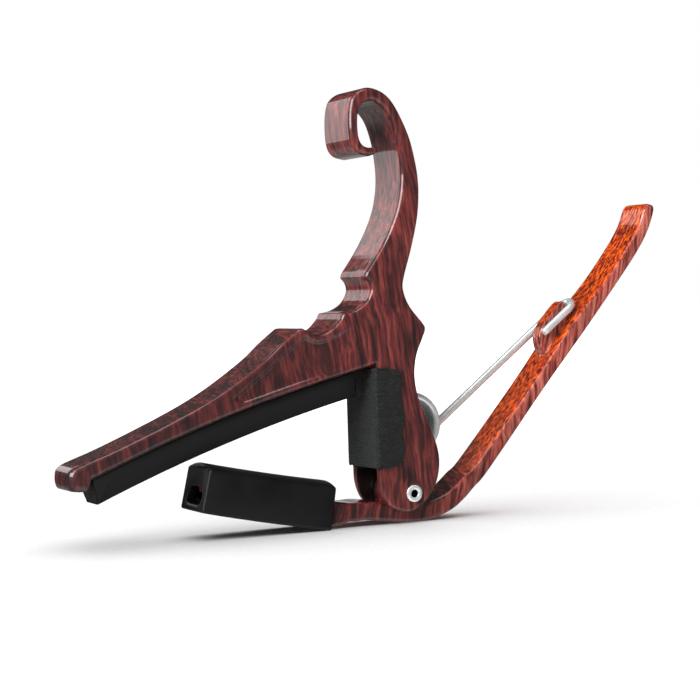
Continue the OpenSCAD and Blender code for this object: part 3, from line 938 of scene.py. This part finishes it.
def sidePad():
    low, high = (np.array(corner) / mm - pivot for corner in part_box("side_pad"))
    lobes = faceLoops(nodes["side_pad"], lambda c: c.y > high[1] - 0.1)[0]
    front, half = low[0] + cloth["thick"] / 2, high[1] - cloth["thick"] / 2
    rows = np.arange(low[2], high[2] + cloth["step"] / 2, cloth["step"])
    rows = low[2] + (high[2] - low[2]) * np.arange(len(rows)) / (len(rows) - 1)
    rear = lobes[lobes[:, 0] > low[0] + 1.2]
    order = np.argsort(rear[:, 2])
    rearAt = np.interp(rows, rear[order, 2], rear[order, 0])
    r = cloth["fold"] - cloth["thick"] / 2
    quarter = r * math.pi / 2
    flatHalf = half - r
    frontHalf = flatHalf + quarter  # from the middle of the front to the end of the fold
    rng = np.random.default_rng(cloth["seed"])
    across = cloth["across"]
    mesh = bmesh.new()
    lay = mesh.verts.layers.float_vector.new("clothPlace")
    grid = []
    for j, z in enumerate(rows):
        wing = rearAt[j] - (front + r) + cloth["fray"] * rng.uniform(-1, 1)
        reach = frontHalf + wing
        line = []
        for i in range(across + 1):
            s = reach * (2 * i / across - 1)
            t = abs(s)
            sign = 1 if s > 0 else -1
            if t < flatHalf:
                x, y = front, s
            elif t < frontHalf:
                a = (t - flatHalf) / r
                x, y = front + r * (1 - math.cos(a)), sign * (flatHalf + r * math.sin(a))
            else:
                x, y = front + r + t - frontHalf, sign * half
            height = z
            if j in (0, len(rows) - 1):
                height = z + cloth["fray"] * rng.uniform(-1, 1)
            vert = mesh.verts.new(Vector((x + pivot[0], y + pivot[1], height + pivot[2])) * mm)
            vert[lay] = Vector((s, z, 0))
            line.append(vert)
        grid.append(line)
    for lower, upper in zip(grid, grid[1:]):
        for i in range(across):
            mesh.faces.new((lower[i], lower[i + 1], upper[i + 1], upper[i]))
    data = bpy.data.meshes.new("side_pad_tape")
    mesh.to_mesh(data)
    mesh.free()
    data.shade_smooth()
    piece = linkPiece("side_pad_tape", data, padCloth)
    solid = piece.modifiers.new("Thickness", "SOLIDIFY")
    solid.thickness = cloth["thick"] * mm
    solid.offset = 0
    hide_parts("side_pad")
    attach(piece, "frame")
    print("side pad folded")


sidePad()
for name in ("fretting_pad_adhesive", "side_pad_adhesive"):
    nodes[name].data.materials.clear()
    nodes[name].data.materials.append(tape)

# stage

studio = {
    "floorHalf": 2.0,      # m
    "glowFrom": 0.14,      # m from the object where the paper starts to glow, so that its far side is white
    "glowFull": 0.55,
    "paper": ("#f4f4f4", "#fbfbfb"),
    "fibres": 900,         # to the metre
    "lens": 102.857,       # mm
    "sensor": 36,          # mm
    "turn": 25.1,          # degrees round from the side view
    "down": 1.85,
    "roll": -2.0,
    "aim": (-9.716, -0.48, 27.232),  # mm from the rivet
    "distance": 374,       # mm from the aim to the camera
}


def floorAndCamera():
    half = studio["floorHalf"]
    data = bpy.data.meshes.new("studio_floor")
    corners = [(-half, -half, 0), (half, -half, 0), (half, half, 0), (-half, half, 0)]
    data.from_pydata(corners, [], [(0, 1, 2, 3)])
    # Uncoated studio paper: a matt white with no grain to be seen
    material, tree = startMaterial("mattStudioPaper")
    place = addNode(tree, "ShaderNodeTexCoord")
    fibre = addNode(tree, "ShaderNodeTexNoise", {
        "Vector": place.outputs["Object"], "Scale": studio["fibres"], "Detail": 2})
    dim, bright = studio["paper"]
    colour = addNode(tree, "ShaderNodeValToRGB", {"Fac": fibre.outputs["Fac"]}, stops=[
        (0.3, paint(dim)), (0.7, paint(bright))])
    away = addNode(tree, "ShaderNodeVectorMath", {0: place.outputs["Object"]}, operation="LENGTH")
    glow = addNode(tree, "ShaderNodeMapRange", {
        "Value": away.outputs["Value"], "From Min": studio["glowFrom"],
        "From Max": studio["glowFull"]}, interpolation_type="SMOOTHSTEP")
    shader = addNode(tree, "ShaderNodeBsdfPrincipled", {
        "Base Color": colour.outputs["Color"], "Roughness": 0.7, "Specular IOR Level": 0.1,
        "Emission Color": grey(1), "Emission Strength": glow.outputs["Result"]})
    endMaterial(tree, shader)
    floor = linkPiece("studio_floor", data, material)
    floor.visible_glossy = False  # the lacquer shows the surroundings below, not the paper

    turn, down, roll = (math.radians(studio[k]) for k in ("turn", "down", "roll"))
    forward = Vector((math.sin(turn) * math.cos(down), math.cos(turn) * math.cos(down), -math.sin(down)))
    level = Vector((math.cos(turn), -math.sin(turn), 0))
    rise = level.cross(forward)
    right = level * math.cos(roll) + rise * math.sin(roll)
    up = right.cross(forward)
    aim = Vector(studio["aim"]) * mm + Vector(pivot) * mm
    camera = bpy.data.objects.new("camera", bpy.data.cameras.new("camera"))
    camera.data.lens = studio["lens"]
    camera.data.sensor_width = studio["sensor"]
    camera.data.clip_start = 0.01
    camera.data.clip_end = 20
    basis = Matrix((right, up, -forward)).transposed().to_4x4()
    camera.matrix_world = Matrix.Translation(aim - forward * studio["distance"] * mm) @ basis
    bpy.context.scene.collection.objects.link(camera)
    bpy.context.scene.camera = camera


floorAndCamera()

lights = {
    # name: (place in m, aim in m, size in m, power in W, what it lights)
    "paperSoftbox": ((-0.02, 0.02, 0.6), (0, 0, 0), (1.5, 1.2), 10.5, "paper"),
    "edgeStrip": ((-0.4, -0.25, 0.6), (0, 0, 0.03), (0.22, 0.3), 1.1, "part"),
    "topSoftbox": ((-0.05, -0.1, 0.75), (0, 0, 0.02), (0.35, 0.35), 1.3, "part"),
    "keySoftbox": ((-0.62, -0.2, 0.34), (0, 0, 0.03), (0.6, 0.5), 9.5, "part"),
    "rearCard": ((-0.0985, 0.238, 0.14), (0.0065, 0.003, 0.14), (0.135, 0.171), 0.091, "part"),
}
base = 0.04  # how bright the surroundings are where none of these reach
surround = {
    # name: (direction, how squarely a ray points that way where it starts, where it is full, strength)
    "front": ((0.3, -0.95, 0), -0.1, 0.7, 0.14),
    "lowFront": ((0.1, -0.7, -0.7), 0.72, 0.95, 0.6),
    "behind": ((0.424, 0.905, -0.03), 0.95, 0.995, 0.45),
    "underneath": ((0, 0, -1), 0.16, 0.32, 0.25),
}


def softLights():
    floor = bpy.data.objects["studio_floor"]
    for name, (place, aim, size, power, target) in lights.items():
        data = bpy.data.lights.new(name, "AREA")
        data.shape = "RECTANGLE"
        data.size, data.size_y = size
        data.energy = power
        lamp = bpy.data.objects.new(name, data)
        lamp.location = place
        lamp.rotation_euler = (Vector(aim) - Vector(place)).to_track_quat("-Z", "Y").to_euler()
        bpy.context.scene.collection.objects.link(lamp)
        linked = bpy.data.collections.new(name)  # the paper has a lamp of its own, for one soft shadow
        linked.objects.link(floor)
        state = "INCLUDE" if target == "paper" else "EXCLUDE"
        linked.collection_objects[0].light_linking.link_state = state
        lamp.light_linking.receiver_collection = linked
    world = bpy.data.worlds.new("studio")
    world.use_nodes = True
    tree = world.node_tree
    tree.nodes.clear()
    place = addNode(tree, "ShaderNodeTexCoord")
    total = base
    for direction, start, full, strength in surround.values():
        along = addNode(tree, "ShaderNodeVectorMath", {
            0: place.outputs["Generated"], 1: direction}, operation="DOT_PRODUCT")
        patch = addNode(tree, "ShaderNodeMapRange", {
            "Value": along.outputs["Value"], "From Min": start, "From Max": full, "To Max": strength},
            interpolation_type="SMOOTHSTEP")
        total = addNode(tree, "ShaderNodeMath", {0: total, 1: patch.outputs["Result"]}).outputs["Value"]
    light = addNode(tree, "ShaderNodeBackground", {"Color": grey(1), "Strength": total})
    seen = addNode(tree, "ShaderNodeBackground", {"Color": grey(1), "Strength": 1.0})  # plain white
    path = addNode(tree, "ShaderNodeLightPath")
    both = addNode(tree, "ShaderNodeMixShader", {
        0: path.outputs["Is Camera Ray"], 1: light.outputs["Background"], 2: seen.outputs["Background"]})
    addNode(tree, "ShaderNodeOutputWorld", {"Surface": both.outputs["Shader"]})
    bpy.context.scene.world = world
    bpy.context.scene.view_settings.view_transform = "Standard"


softLights()
print("stage set")
